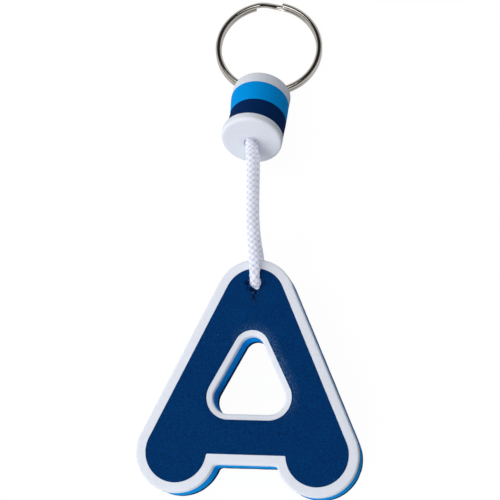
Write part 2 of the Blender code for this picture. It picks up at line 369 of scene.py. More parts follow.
@dataclass(frozen=True)
class NickelFinish:
    """Polished nickel plate with fine scratches and slightly dull patches."""

    name: str = "nickel_plate"
    colour: Colour = (0.50, 0.475, 0.44)
    dull_colour: Colour = (0.36, 0.34, 0.315)

    def build(self) -> bpy.types.Material:
        """Build the nickel's material and return it."""
        material, graph, shader = new_material(self.name)
        patches = graph.noise(420.0, 4.0)
        scratches = graph.span(graph.noise(1700.0, 3.0), (0.56, 0.72), (0.0, 1.0))
        colour = graph.mix(Flow.RGBA, patches, (*self.colour, 1.0), (*self.dull_colour, 1.0))
        mark_share = graph.math("MULTIPLY", scratches, 0.07)
        rough = graph.math("ADD", graph.span(patches, (0.35, 0.75), (0.06, 0.13)), mark_share)
        normal = graph.bump(scratches, 0.0008 * MM)
        graph.feed(shader, {"Base Color": colour, "Roughness": rough, "Normal": normal, "Metallic": 1.0})
        return material


@dataclass(frozen=True)
class BraidFinish:
    """White braided polyester: crests, valleys darkened with a painted lilac shade, and the lines of its
    filaments.

    It scatters light inside. Its emission of its own colour is painted light: a glow that brightens its
    shaded side as a fill lamp would.
    """

    name: str = "white_braid"
    crest_colour: Colour = (0.60, 0.61, 0.67)
    valley_shade_colour: Colour = (0.36, 0.38, 0.51)
    glow_depth: float = 8.0 * MM
    glow: float = 0.38

    def build(self, effects: Effects) -> bpy.types.Material:
        """Build the braid's material.

        Args:
            effects: The shared groups.

        Returns:
            The material.
        """
        material, graph, shader = new_material(self.name)
        # Painted shade: the colour darkens to a lilac shade with the depth below the crests.
        valley = graph.span(graph.attribute("valley"), (0.04, 0.60), (0.0, 1.0))
        colour = graph.mix(Flow.RGBA, valley, (*self.crest_colour, 1.0), (*self.valley_shade_colour, 1.0))
        inputs = {"Colour": colour, "Cells per Metre": 2500.0, "Cell Contrast": 0.12}
        grain = graph.group(effects.grain, inputs | {"Patch Contrast": 0.08})
        lines = graph.math("SINE", graph.math("MULTIPLY", graph.attribute("yarn_across"), 38.0))
        height = graph.math("ADD", graph.math("MULTIPLY", lines, 0.35), grain["Height"])
        graph.feed(shader, {
            "Base Color": grain["Colour"],
            "Roughness": grain["Roughness"],
            "Normal": graph.bump(height, 0.03 * MM),
            "Specular IOR Level": 0.1,
            "Subsurface Weight": 1.0,
            "Subsurface Radius": (1.0, 1.0, 1.0),
            "Subsurface Scale": self.glow_depth,
            # Painted light: the cord glows with its own colour, though it is no lamp, to brighten its shaded
            # side.
            "Emission Color": grain["Colour"],
            "Emission Strength": self.glow,
        })
        return material


@dataclass(frozen=True)
class Finishes:
    """The materials of all the pieces."""

    white_foam: bpy.types.Material
    blue_foam: bpy.types.Material
    navy_foam: bpy.types.Material
    navy_print: bpy.types.Material
    nickel_steel: bpy.types.Material
    white_cord: bpy.types.Material

    @classmethod
    def build(cls) -> Finishes:
        """Build every material once."""
        effects = Effects.build()
        white = FoamFinish("white_closed_cell_foam", (0.75, 0.79, 0.865), (0.55, 0.58, 0.66), 0.10, 0.06)
        blue = FoamFinish("blue_closed_cell_foam", (0.0, 0.30, 0.80), (0.0, 0.18, 0.50), 0.40, specular=0.03)
        navy = FoamFinish("navy_closed_cell_foam", (0.002, 0.022, 0.10), (0.08, 0.14, 0.25), 1.2, 0.25, 0.02)
        return cls(
            white_foam=white.build(effects),
            blue_foam=blue.build(effects),
            navy_foam=navy.build(effects),
            navy_print=PrintFinish().build(effects),
            nickel_steel=NickelFinish().build(),
            white_cord=BraidFinish().build(effects),
        )

    def of(self, slot: Slot) -> bpy.types.Material:
        """The material of a slot."""
        return getattr(self, slot.value)


def add_object(name: str, bm: bmesh.types.BMesh, finish: bpy.types.Material) -> bpy.types.Object:
    """Turn a bmesh into an object of the scene.

    Args:
        name: The object's name.
        bm: Its shape. It is freed.
        finish: Its material.

    Returns:
        The object.
    """
    mesh = bpy.data.meshes.new(name)
    bm.to_mesh(mesh)
    bm.free()
    mesh.materials.append(finish)
    made = bpy.data.objects.new(name, mesh)
    bpy.context.scene.collection.objects.link(made)
    return made


@dataclass(frozen=True)
class Piece:
    """What a piece is called, what it is made of and what it stands for."""

    name: str
    slot: Slot
    body: Body
    node: str
    sharp_above: float = 60.0

    def add(self, bm: bmesh.types.BMesh, finishes: Finishes) -> bpy.types.Object:
        """Turn a bmesh into the piece, which rides on its body and stands for its solid.

        Args:
            bm: The piece's shape, in the frame's own place. It is freed.
            finishes: The materials.

        Returns:
            The piece's object.
        """
        bmesh.ops.recalc_face_normals(bm, faces=bm.faces[:])
        piece = add_object(self.name, bm, finishes.of(self.slot))
        piece.data.shade_smooth()
        piece.data.set_sharp_from_angle(angle=math.radians(self.sharp_above))
        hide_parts(self.node)
        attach(piece, self.body.value)
        log.info("%s: %d faces, rides on %s", self.name, len(piece.data.polygons), self.body.value)
        return piece


def add_foam(node: str, slot: Slot, bm: bmesh.types.BMesh, finishes: Finishes) -> bpy.types.Object:
    """Add a foam piece of the float or the plate, or the ink on it.

    Args:
        node: The solid that it stands for.
        slot: Its material's slot.
        bm: Its shape.
        finishes: The materials.

    Returns:
        The piece's object.
    """
    piece = Piece(f"foam_{node}", slot, Body.FLOAT_AND_PLATE, node).add(bm, finishes)
    return piece


def arc(centre: Point, radius: float, start: float, end: float, steps: int) -> list[Point]:
    """Points of an arc.

    Args:
        centre: The arc's centre.
        radius: Its radius.
        start: Angle of the first point.
        end: Angle of the last point.
        steps: Number of steps between them.

    Returns:
        The points, both ends included.
    """
    angles = [start + (end - start) * i / steps for i in range(steps + 1)]
    return [(centre[0] + radius * math.cos(a), centre[1] + radius * math.sin(a)) for a in angles]


def line(start: Point, end: Point, steps: int) -> list[Point]:
    """Points between two ends, without the ends."""
    shares = [i / steps for i in range(1, steps)]
    return [(start[0] + (end[0] - start[0]) * s, start[1] + (end[1] - start[1]) * s) for s in shares]


def both_halves(right: list[Point]) -> list[Point]:
    """Close a right half, which starts and ends on the middle line, with its mirror image."""
    return right + [(-x, y) for x, y in reversed(right[1:-1])]


def distance_to(outline: list[Point], x: float, y: float) -> float:
    """Distance from a point to a closed outline.

    Args:
        outline: The outline's points.
        x: The point's place across.
        y: The point's place along.

    Returns:
        The least distance.
    """
    best = math.inf
    for (ax, ay), (bx, by) in zip(outline, outline[1:] + outline[:1]):
        dx, dy = bx - ax, by - ay
        share = ((x - ax) * dx + (y - ay) * dy) / max(dx * dx + dy * dy, 1e-18)
        share = min(1.0, max(0.0, share))
        best = min(best, (x - ax - share * dx) ** 2 + (y - ay - share * dy) ** 2)
    return math.sqrt(best)


def rounding(radius: float, level: float, side: float, steps: int) -> list[Point]:
    """Profile of a rounded edge as pairs of inset and height, from the wall to the face.

    Args:
        radius: Radius of the edge.
        level: Height of the face.
        side: 1 for an upper edge, -1 for a lower one.
        steps: Number of steps.

    Returns:
        The profile's points.
    """
    bends = [math.pi / 2 * i / steps for i in range(steps + 1)]
    return [(radius * (1 - math.cos(a)), level - side * radius * (1 - math.sin(a))) for a in bends]


def closed_sheet(contours: list[Contour], profile: list[Point]) -> bmesh.types.BMesh:
    """A pierced solid sheet with the same edge profile round every contour.

    Args:
        contours: The outer contour and those of the holes, each a function of the inset.
        profile: Pairs of inset and height, from the lower face to the upper one.

    Returns:
        The closed solid.
    """
    bm = bmesh.new()
    faces_edges: tuple[list, list] = ([], [])
    for contour in contours:
        previous = None
        for index, (inset, level) in enumerate(profile):
            ring = [bm.verts.new((x, y, level)) for x, y in contour(inset)]
            edges = [bm.edges.new((ring[i - 1], ring[i])) for i in range(len(ring))]
            if previous:
                bmesh.ops.bridge_loops(bm, edges=previous + edges)
            if index == 0:
                faces_edges[0].extend(edges)
            if index == len(profile) - 1:
                faces_edges[1].extend(edges)
            previous = edges
    for edges in faces_edges:
        bmesh.ops.triangle_fill(bm, use_beauty=True, use_dissolve=False, edges=edges)
    return bm


def cut_in_cells(bm: bmesh.types.BMesh, level: float, cell: float, low: Point, high: Point) -> None:
    """Cut the flat faces at a level in square cells, so that they can be shaped.

    Args:
        bm: The solid.
        level: Height of the faces.
        cell: Side of a cell.
        low: Lowest corner of the region to cut.
        high: Highest corner of that region.
    """
    def chosen() -> list:
        """The flat faces in the region, with their edges and vertices."""
        faces = [
            f for f in bm.faces
            if all(abs(v.co.z - level) < 1e-7 for v in f.verts)
            and any(low[0] - cell < v.co.x < high[0] + cell for v in f.verts)
            and any(low[1] - cell < v.co.y < high[1] + cell for v in f.verts)
        ]
        parts = [e for f in faces for e in f.edges] + [v for f in faces for v in f.verts]
        return faces + list(dict.fromkeys(parts))

    for axis in (0, 1):
        geom = chosen()
        normal = (1.0, 0.0, 0.0) if axis == 0 else (0.0, 1.0, 0.0)
        count = round((high[axis] - low[axis]) / cell)
        for index in range(1, count):
            place = low[axis] + (high[axis] - low[axis]) * index / count
            point = (place, 0.0, 0.0) if axis == 0 else (0.0, place, 0.0)
            cut = bmesh.ops.bisect_plane(bm, geom=geom, dist=1e-7, plane_co=point, plane_no=normal)
            geom = cut["geom"]


@dataclass
class BraidedCord:
    """The doubled cord: a round braid of eight strands on one smooth route."""

    diameter: float = 2.9 * MM
    rows_per_metre: float = 6400.0
    sides: int = 96
    strands: int = 4
    stitch: float = 1.6 * MM
    depth: float = 0.40 * MM
    route: tuple[tuple[float, float, float, float], ...] = (
        (-2.75, 90.0, 8.42, 0.74), (-2.75, 92.3, 7.44, 0.74), (-2.72, 93.45, 6.77, 0.74),
        (-2.7, 94.6, 5.45, 0.75), (-2.7, 95.45, 4.05, 0.76), (-2.7, 96.6, 2.5, 0.76),
        (-2.7, 98.1, 1.2, 0.76), (-2.7, 99.9, 0.75, 0.76), (-2.7, 101.3, 1.6, 0.76),
        (-2.7, 102.2, 3.1, 0.76), (-2.7, 102.0, 4.8, 0.76), (-2.7, 101.0, 6.2, 0.76),
        (-2.7, 99.4, 6.95, 0.76), (-2.7, 97.7, 7.7, 0.75), (-2.84, 95.7, 8.7, 0.74),
        (-3.27, 89.5, 11.2, 0.74), (-3.7, 81.25, 13.45, 0.74), (-3.65, 79.2, 14.05, 0.77),
        (-2.9, 75.8, 15.1, 0.93), (-2.2, 71.0, 16.1, 0.95), (-1.3, 57.0, 15.7, 0.95),
        (-0.75, 51.0, 14.7, 0.97), (0.05, 43.8, 13.8, 1.0), (0.1, 41.6, 13.35, 0.95),
        (0.05, 40.55, 11.7, 0.92), (0.0, 40.5, 9.4, 0.9), (0.0, 40.9, 3.4, 0.9), (-0.1, 41.3, 1.75, 0.9),
        (-0.3, 42.8, 0.82, 0.93), (-0.7, 45.4, 0.85, 1.0), (-1.15, 48.3, 1.08, 1.0),
        (-1.5, 51.3, 2.5, 0.97), (-1.7, 54.0, 5.4, 0.95), (-1.75, 57.5, 8.7, 0.95),
        (-1.7, 62.0, 11.2, 0.95), (-1.9, 71.5, 12.6, 0.95), (-2.2, 75.0, 12.2, 0.93),
        (-2.4, 76.9, 12.0, 0.84), (-2.63, 78.5, 11.75, 0.77), (-2.72, 85.2, 10.2, 0.74),
    )

    def smooth_line(self) -> list[tuple[Vector, float]]:
        """Points close together on the cord's centre line.

        Returns:
            Pairs of a point in metres and the share of the full diameter there.
        """
        knots = [Vector(p) for p in self.route]
        padded = [2 * knots[0] - knots[1], *knots, 2 * knots[-1] - knots[-2]]
        points = []
        for before, start, end, after in zip(padded, padded[1:], padded[2:], padded[3:]):
            for step in range(24):
                t = step / 24
                point = start * 2 + (end - before) * t
                point += (2 * before - 5 * start + 4 * end - after) * t**2
                point += (3 * start - before - 3 * end + after) * t**3
                points.append(point / 2)
        points.append(knots[-1])
        return [(Vector(p[:3]) * MM, p[3]) for p in points]

    def even_line(self) -> tuple[list[tuple[Vector, Vector, float]], float]:
        """The centre line again, in rows that are evenly spaced.

        Returns:
            The rows, each a point, a direction and a share of the diameter, and the cord's length.
        """
        line_points = self.smooth_line()
        travelled = [0.0]
        for (first, _), (second, _) in zip(line_points, line_points[1:]):
            travelled.append(travelled[-1] + (second - first).length)
        length = travelled[-1]
        count = round(length * self.rows_per_metre)
        rows, index = [], 0
        for row in range(count + 1):
            goal = length * row / count
            while index < len(travelled) - 2 and travelled[index + 1] < goal:
                index += 1
            share = (goal - travelled[index]) / (travelled[index + 1] - travelled[index])
            first, second = line_points[index], line_points[index + 1]
            before = line_points[max(0, index - 1)][0]
            after = line_points[min(len(line_points) - 1, index + 2)][0]
            ahead = (after - before).normalized()
            rows.append((first[0].lerp(second[0], share), ahead, first[1] + (second[1] - first[1]) * share))
        return rows, length

    def relief(self, around: float, along: float) -> tuple[float, float]:
        """Height of the braid's surface, where right and left strands pass over each other in turn.

        Args:
            around: Angle round the cord.
            along: Distance along it in metres.

        Returns:
            The depth below the crests, from 0 to 1, and the place across the strand on top.
        """
        s = around * self.strands / (2 * math.pi)
        t = along / self.stitch
        tops = []
        for across, run, phase in ((s - t, s + t, 0), (s + t, s - t, 1)):
            strand = round(across)
            offset = across - strand
            lift = 0.5 + 0.5 * math.cos(math.pi * (run + strand + phase))
            crown = math.sqrt(max(0.0, 1.0 - (offset / 0.56) ** 2))
            tops.append((crown * (0.4 + 0.6 * lift), offset))
        height, offset = max(tops)
        return 1.0 - height, offset

    def mesh(self) -> tuple[bmesh.types.BMesh, list[Vector], float]:
        """The braided tube.

        Returns:
            Its shape, the points that it follows and its length.
        """
        rows, length = self.even_line()
        bm = bmesh.new()
        bmesh.ops.create_grid(bm, x_segments=len(rows) - 1, y_segments=self.sides, size=1.0)
        valley = bm.verts.layers.float.new("valley")
        across = bm.verts.layers.float.new("yarn_across")
        for vert in bm.verts:
            row = round((vert.co.x + 1) / 2 * (len(rows) - 1))
            side = round((vert.co.y + 1) / 2 * self.sides)
            centre, ahead, share = rows[row]
            around = 2 * math.pi * side / self.sides
            sideways = Vector((1.0, 0.0, 0.0))
            sideways = (sideways - ahead * sideways.dot(ahead)).normalized()
            upward = ahead.cross(sideways)
            below, offset = self.relief(around, length * row / (len(rows) - 1))
            radius = (self.diameter / 2 - self.depth * below) * share
            vert[valley] = below
            vert[across] = offset
            vert.co = centre + radius * (math.cos(around) * sideways + math.sin(around) * upward)
        bmesh.ops.remove_doubles(bm, verts=bm.verts[:], dist=1e-7)
        bmesh.ops.holes_fill(bm, edges=[e for e in bm.edges if e.is_boundary], sides=0)
        path = [row[0] for row in rows[::8]] + [rows[-1][0]]
        return bm, path, length

    def dress(self, finishes: Finishes) -> bpy.types.Object:
        """Args:
            finishes: The materials.

        Returns:
            The cord's object.
        """
        bm, path, length = self.mesh()
        named = Piece("braided_cord", Slot.WHITE_CORD, Body.FLOAT_AND_PLATE, "cord", sharp_above=180.0)
        piece = named.add(bm, finishes)
        log.info("cord: %.1f mm long, %.1f mm thick", length / MM, self.diameter / MM)
        return piece


@dataclass(frozen=True)
class DiscEnd:
    """One end of a foam disc: level, diameter, shift and rim, and how far the bore is lowered there."""

    level: float
    diameter: float
    shift: float
    rim: float
    high_drop: float = 0.0
    low_drop: float = 0.0


@dataclass
class FoamFloat:
    """The float: four foam discs glued face to face on the doubled cord."""

    diameter: float = 16.2 * MM
    waist_diameter: float = 15.6 * MM
    waist_shift: float = 0.55 * MM
    end_diameter: float = 16.6 * MM
    end_shift: float = 0.1 * MM
    seams: tuple[float, ...] = (0.0, -4.0 * MM, -10.7 * MM, -16.8 * MM, -19.2 * MM)
    rim: float = 0.9 * MM
    joint_rim: float = 0.07 * MM
    joint_gap: float = 0.02 * MM
    bore_radius: float = 2.1 * MM
    mouth_drop: float = 2.8 * MM
    exit_drop: float = 1.1 * MM
    dip: float = 0.3 * MM
    tilt: float = math.radians(22.0)
    turn: float = math.radians(-2.0)
    top_centre: tuple[float, float, float] = (-2.7 * MM, 97.4 * MM, 6.748 * MM)
    sides: int = 96
    turned_hole: float = 0.5 * MM

    def discs(self) -> tuple[tuple[str, Slot, DiscEnd, DiscEnd], ...]:
        """Name, slot, upper and lower end of each disc, from the ring's end to the plate's end."""
        top, neck, waist, end, bottom = self.seams
        half = self.joint_gap / 2
        sag = self.exit_drop * (waist - end) / (waist - bottom)
        wide, narrow = (self.diameter, 0.0), (self.waist_diameter, self.waist_shift)
        last = (self.end_diameter, self.end_shift)
        joint = self.joint_rim
        return (
            ("float_top_disc", Slot.WHITE_FOAM, DiscEnd(top, *wide, self.rim, 0.0, self.mouth_drop),
             DiscEnd(neck + half, *wide, joint)),
            ("float_blue_disc", Slot.BLUE_FOAM, DiscEnd(neck - half, *wide, joint),
             DiscEnd(waist + half, *narrow, joint)),
            ("float_navy_disc", Slot.NAVY_FOAM, DiscEnd(waist - half, *narrow, joint),
             DiscEnd(end + half, *narrow, joint, sag, sag)),
            ("float_bottom_disc", Slot.WHITE_FOAM, DiscEnd(end - half, *last, joint, sag, sag),
             DiscEnd(bottom, *last, self.rim, self.exit_drop, self.exit_drop)),
        )

    def place(self) -> Matrix:
        """From the float's own frame, whose axis points at the ring, to the part's frame."""
        lean = Euler((-math.pi / 2 - self.tilt, 0.0, self.turn)).to_matrix().to_4x4()
        return Matrix.Translation(self.top_centre) @ lean

    def disc(self, upper: DiscEnd, lower: DiscEnd) -> bmesh.types.BMesh:
        """A disc that is turned from its half section and then bored.

        Args:
            upper: Its end towards the ring.
            lower: Its end towards the plate.

        Returns:
            The disc's closed shape.
        """
        bottom, thickness = lower.level, upper.level - lower.level
        low = rounding(lower.rim, bottom, -1.0, 6)[::-1]
        high = rounding(upper.rim, upper.level, 1.0, 6)
        levels = [low[-1][1] + (high[0][1] - low[-1][1]) * i / 5 for i in range(1, 5)]
        outer, inner = self.diameter / 2, self.turned_hole
        section = [(outer - inset, level) for inset, level in low + [(0.0, z) for z in levels] + high]
        across = [inner + (section[0][0] - inner) * i / 9 for i in range(9)]
        section = [(x, bottom) for x in across] + section + [(x, upper.level) for x in across[::-1]]
        bm = bmesh.new()
        verts = [bm.verts.new((x, 0.0, z)) for x, z in section]
        edges = [bm.edges.new((verts[i - 1], verts[i])) for i in range(len(verts))]
        bmesh.ops.spin(
            bm, geom=verts + edges, cent=(0, 0, 0), axis=(0, 0, 1), angle=2 * math.pi, steps=self.sides,
            use_merge=True,
        )
        bmesh.ops.remove_doubles(bm, verts=bm.verts[:], dist=1e-7)
        for vert in bm.verts:
            self.shape(vert, (vert.co.z - bottom) / thickness, upper, lower)
        return bm

    def shape(self, vert: bmesh.types.BMVert, depth: float, upper: DiscEnd, lower: DiscEnd) -> None:
        """Move a vertex of a turned disc to the disc's own rim, bore and soft surface.

        Args:
            vert: The vertex.
            depth: Its height as a share of the disc's thickness.
            upper: The disc's end towards the ring.
            lower: The disc's end towards the plate.
        """
        inner = self.turned_hole
        angle = math.atan2(vert.co.y, vert.co.x)
        aim = Vector((math.cos(angle), math.sin(angle), 0.0))
        share = (math.hypot(vert.co.x, vert.co.y) - inner) / (self.diameter / 2 - inner)
        drops = (upper.low_drop, lower.low_drop) if aim.y > 0 else (upper.high_drop, lower.high_drop)
        sunk = drops[1] + (drops[0] - drops[1]) * depth
        width = lower.diameter + (upper.diameter - lower.diameter) * depth
        shift = lower.shift + (upper.shift - lower.shift) * depth
        hole = aim * self.bore_radius + Vector((0.0, sunk, 0.0))
        ripple = 0.03 * MM * noise.noise(vert.co / (2.2 * MM))
        edge = aim * (width / 2 + ripple) + Vector((shift, 0.0, 0.0))
        spot = hole.lerp(edge, share)
        sink = self.dip * max(0.0, 1.0 - (spot - hole).length / (1.5 * MM)) ** 2
        level = vert.co.z
        if depth > 0.999 and upper.rim > self.joint_rim:
            level -= sink
        if depth < 0.001 and lower.rim > self.joint_rim:
            level += sink
        vert.co = (spot.x, spot.y, level)

    def dress(self, finishes: Finishes) -> list[bpy.types.Object]:
        """Build the four discs.

        Args:
            finishes: The materials.

        Returns:
            The discs' objects.
        """
        pieces = []
        for name, slot, upper, lower in self.discs():
            bm = self.disc(upper, lower)
            bmesh.ops.transform(bm, matrix=self.place(), verts=bm.verts[:])
            pieces.append(add_foam(name, slot, bm, finishes))
        return pieces


@dataclass
class FoamPlate:
    """The plate: three foam sheets with one cut outline, a window, the cord's hole and a printed field."""

    foot_spacing: float = 36.4 * MM
    apex_height: float = 40.2 * MM
    stroke_radius: float = 10.5 * MM
    notch_depth: float = 7.5 * MM
    notch_fillet: float = 1.2 * MM
    foot_line: float = -3.5 * MM
    window_spread: float = 10.4 * MM
    window_low_radius: float = 4.4 * MM
    window_top_radius: float = 3.2 * MM
    window_low_height: float = 14.2 * MM
    window_top_height: float = 27.0 * MM
    hole_height: float = 44.6 * MM
    hole_radius: float = 1.5 * MM
    border: float = 2.5 * MM
    window_rim: float = 1.5 * MM
    print_fillet: float = 0.4 * MM
    back_top: float = 2.0 * MM
    middle_top: float = 7.0 * MM
    front_top: float = 9.2 * MM
    tilt: float = math.radians(3.3248)
    cell: float = 0.9 * MM
    fine_cell: float = 0.22 * MM
    waviness: float = 0.03 * MM
    edge_roll: float = 0.10 * MM
    edge_reach: float = 1.6 * MM
    window_roll: float = 0.45 * MM
    window_reach: float = 3.2 * MM
    wear_and_sheen_reach: float = 2.4 * MM
    hole_dip: float = 0.35 * MM
    hole_reach: float = 1.1 * MM
    crease_depth: float = 0.15 * MM
    wave_size: float = 3.1 * MM
    nick_size: float = 0.75 * MM
    nick_depth: float = 0.32 * MM

    def outer(self, inset: float, fillet: float | None = None) -> list[Point]:
        """Outline of the plate, or one inside it.

        Args:
            inset: Distance inside the cut edge.
            fillet: Radius of the notch's corners, or None for the cut's own.

        Returns:
            The outline's points, the same number for any inset.
        """
        corner = self.notch_fillet if fillet is None else fillet
        radius = self.stroke_radius - inset
        foot = (self.foot_spacing / 2, self.foot_line)
        apex = (0.0, self.foot_line + self.apex_height)
        notch = self.foot_line - self.stroke_radius + self.notch_depth + inset
        lean = math.atan2(self.foot_spacing / 2, self.apex_height)
        reach = math.sqrt((radius + corner) ** 2 - (foot[1] - notch + corner) ** 2)
        centre = (foot[0] - reach, notch - corner)
        meeting = math.atan2(foot[1] - centre[1], foot[0] - centre[0])
        bend = arc(centre, corner, math.pi / 2, meeting, 6)
        round_foot = arc(foot, radius, meeting + math.pi, lean + 2 * math.pi, 64)[1:]
        round_apex = arc(apex, radius, lean, math.pi / 2, 22)
        middle = (0.0, notch)
        right = [middle] + line(middle, bend[0], 12) + bend + round_foot
        right += line(round_foot[-1], round_apex[0], 74) + round_apex
        return both_halves(right)

    def window(self, rim: float) -> list[Point]:
        """Outline of the window, widened by the rim.

        Args:
            rim: Distance outside the cut edge.

        Returns:
            The outline's points, the same number for any rim.
        """
        low = (self.window_spread / 2, self.foot_line + self.window_low_height)
        top = (0.0, self.foot_line + self.window_top_height)
        side = math.atan2(top[1] - low[1], top[0] - low[0])
        lean = math.asin((self.window_low_radius - self.window_top_radius) / math.dist(low, top))
        tangent = side - math.pi / 2 + lean
        round_low = arc(low, self.window_low_radius + rim, -math.pi / 2, tangent, 24)
        round_top = arc(top, self.window_top_radius + rim, tangent, math.pi / 2, 14)
        middle = (0.0, round_low[0][1])
        right = [middle] + line(middle, round_low[0], 10) + round_low
        right += line(round_low[-1], round_top[0], 22) + round_top
        return both_halves(right)

    def hole(self, rim: float) -> list[Point]:
        """Outline of the cord's hole, widened by the rim."""
        centre = (0.0, self.foot_line + self.hole_height)
        return arc(centre, self.hole_radius + rim, 0.0, 2 * math.pi, 48)[:-1]

    def torn_hole(self, rim: float) -> list[Point]:
        """The hole in the ink: the cut has pulled a little of it away on the side below the cord."""
        centre = Vector((0.0, self.foot_line + self.hole_height))
        torn = []
        for x, y in self.hole(rim + 0.06 * MM):
            away = (Vector((x, y)) - centre).normalized()
            pull = max(0.0, away.dot(Vector((0.35, -0.94)))) ** 14
            torn.append((x + away.x * pull * 0.55 * MM, y + away.y * pull * 0.55 * MM))
        return torn

    def inside(self, x: float, y: float) -> float:
        """Distance from a point of the plate to its cut edge, the notch's corners taken as sharp.

        Args:
            x: The point's place across.
            y: The point's place along.

        Returns:
            The distance.
        """
        foot = Vector((self.foot_spacing / 2, self.foot_line))
        leg = Vector((0.0, self.foot_line + self.apex_height)) - foot
        spot = Vector((abs(x), y)) - foot
        share = min(1.0, max(0.0, spot.dot(leg) / leg.length_squared))
        from_leg = self.stroke_radius - (spot - leg * share).length
        if leg.cross(spot) < 0.0:
            return from_leg
        return max(from_leg, y - self.foot_line + self.stroke_radius - self.notch_depth)

    def relief(self, x: float, y: float) -> tuple[float, float]:
        """How the front face departs from a plane, without the creases.

        Args:
            x: Place across the plate.
            y: Place along it.

        Returns:
            Height in metres, and the share of worn ink and painted sheen on the window's rolled edge.
        """
        height = self.waviness * noise.noise(Vector((x, y, 0.0)) / (9 * MM))
        height -= self.edge_roll * max(0.0, 1.0 - max(0.0, self.inside(x, y)) / self.edge_reach) ** 2
        top = self.foot_line + self.window_top_height
        wear_and_sheen = 0.0
        if abs(x) < 14 * MM and 2 * MM < y < top + 8 * MM:
            near = distance_to(self.window(0.0), x, y)
            height -= self.window_roll * max(0.0, 1.0 - near / self.window_reach) ** 2
            # Worn ink and painted sheen, strongest on the upper right of the rim, whose roll slopes towards
            # the lamps.
            away = Vector((x, y - (top - 8 * MM))).normalized()
            side = max(0.0, away.dot(Vector((0.80, 0.60))))
            wear_and_sheen = max(0.0, 1.0 - max(0.0, near - self.window_rim) / self.wear_and_sheen_reach) * side
        hole_y = self.foot_line + self.hole_height
        span = math.hypot(x, y - hole_y)
        height -= self.hole_dip * math.exp(-((max(0.0, span - self.hole_radius) / self.hole_reach) ** 2))
        return height, min(1.0, wear_and_sheen)

    def creases(self, x: float, y: float) -> tuple[float, float, float]:
        """The small creases that the cord's pull leaves beside and below its hole.

        Args:
            x: Place across the plate.
            y: Place along it.

        Returns:
            How far the creases reach, how deep one is here, and how much ink is chipped off.
        """
        hole_y = self.foot_line + self.hole_height
        span = math.hypot(x, y - hole_y)
        below = hole_y - self.hole_radius - y
        if not -2.0 * MM < below < 5.0 * MM:
            return 0.0, 0.0, 0.0
        under = math.exp(-((x + 0.1 * MM) / (0.95 * MM)) ** 2 - ((below - 1.8 * MM) / (1.9 * MM)) ** 2)
        side = max(0.35, min(1.0, 0.4 - x / (1.5 * MM)))
        beside = side * math.exp(-((span - 2.2 * MM) / (0.5 * MM)) ** 2)
        reach = min(1.0, 1.25 * max(under, beside))
        puckers = noise.noise(Vector((x / (0.6 * MM), y / (0.9 * MM), 5.0)))
        chips = noise.noise(Vector((x / (0.5 * MM), y / (0.45 * MM), 9.0)))
        chipped = max(0.0, min(1.0, 4.0 * chips - 0.5))
        depth = reach * max(0.0, min(1.0, 0.9 + 1.8 * puckers)) * (1.0 - 0.8 * chipped)
        return reach, depth, under * chipped

    def roughen(self, bm: bmesh.types.BMesh, amount: float, seed: float) -> None:
        """Give the cut walls the slight waves and nicks of die-cut foam.

        Args:
            bm: The sheet.
            amount: Height of the waves in metres.
            seed: Shift that makes each sheet's waves its own.
        """
        bm.normal_update()
        moves = []
        for vert in bm.verts:
            steep = 1.0 - abs(vert.normal.z)
            place = Vector((vert.co.x, vert.co.y, vert.co.z + seed))
            wave = noise.noise(place / self.wave_size) * amount
            grain = noise.noise(place / (0.9 * MM)) * amount * 0.6
            nick = max(0.0, noise.noise(place / self.nick_size) - 0.30) * self.nick_depth
            at_foot = 1.0 if vert.co.x > 6 * MM and vert.co.y < 8 * MM else 0.25
            out = Vector((vert.normal.x, vert.normal.y, 0.0))
            moves.append(out * steep * (wave + grain - nick * at_foot))
        for vert, move in zip(bm.verts, moves):
            vert.co += move

    def shape_front(self, bm: bmesh.types.BMesh, level: float, skin: bool) -> None:
        """Lower the front face's vertices to the relief, the skin's with its marks.

        Args:
            bm: The sheet or the skin.
            level: Height of its upper face.
            skin: Whether every vertex follows the relief and the marks are kept.
        """
        wear_and_sheen = bm.verts.layers.float.new("rim_wear_and_sheen") if skin else None
        crease_shade = bm.verts.layers.float.new("crease_shade") if skin else None
        for vert in bm.verts:
            share = 1.0 if skin else max(0.0, min(1.0, (vert.co.z - level + 1.6 * MM) / (1.6 * MM)))
            if share <= 0.0:
                continue
            height, mark_share = self.relief(vert.co.x, vert.co.y)
            reach, depth, chipped = self.creases(vert.co.x, vert.co.y)
            height -= self.crease_depth * depth if skin else (self.crease_depth + 0.02 * MM) * reach
            vert.co.z += height * share
            if skin:
                # The skin keeps masks for the worn ink with its painted sheen and for the painted shade in
                # the creases.
                vert[wear_and_sheen] = max(mark_share, chipped)
                vert[crease_shade] = depth

    def sheet(self, bottom: float, top: float, low_edge: float, high_edge: float) -> bmesh.types.BMesh:
        """One foam sheet with its rounded edges.

        Args:
            bottom: Height of the lower face.
            top: Height of the upper face.
            low_edge: Radius of the lower edge.
            high_edge: Radius of the upper edge.

        Returns:
            The sheet's closed shape.
        """
        low = rounding(low_edge, bottom, -1.0, 4)[::-1]
        high = rounding(high_edge, top, 1.0, 4)
        steps = max(2, round((high[0][1] - low[-1][1]) / (0.7 * MM)))
        walls = [(0.0, low[-1][1] + (high[0][1] - low[-1][1]) * i / steps) for i in range(1, steps)]
        return closed_sheet([self.outer, self.window, self.hole], low + walls + high)

    def box(self) -> tuple[Point, Point]:
        """Corners of the plate's outline."""
        half = self.foot_spacing / 2 + self.stroke_radius
        top = self.foot_line + self.apex_height + self.stroke_radius
        return (-half, self.foot_line - self.stroke_radius), (half, top)

    def around_hole(self) -> tuple[Point, Point]:
        """Corners of the region that holds the cord's hole and the crease below it."""
        centre = self.foot_line + self.hole_height
        return (-3.2 * MM, centre - 7.6 * MM), (3.2 * MM, centre + 3.6 * MM)

    def cut_face(self, bm: bmesh.types.BMesh, level: float) -> None:
        """Cut a flat face in cells, finer round the hole."""
        cut_in_cells(bm, level, self.cell, *self.box())
        cut_in_cells(bm, level, self.fine_cell, *self.around_hole())

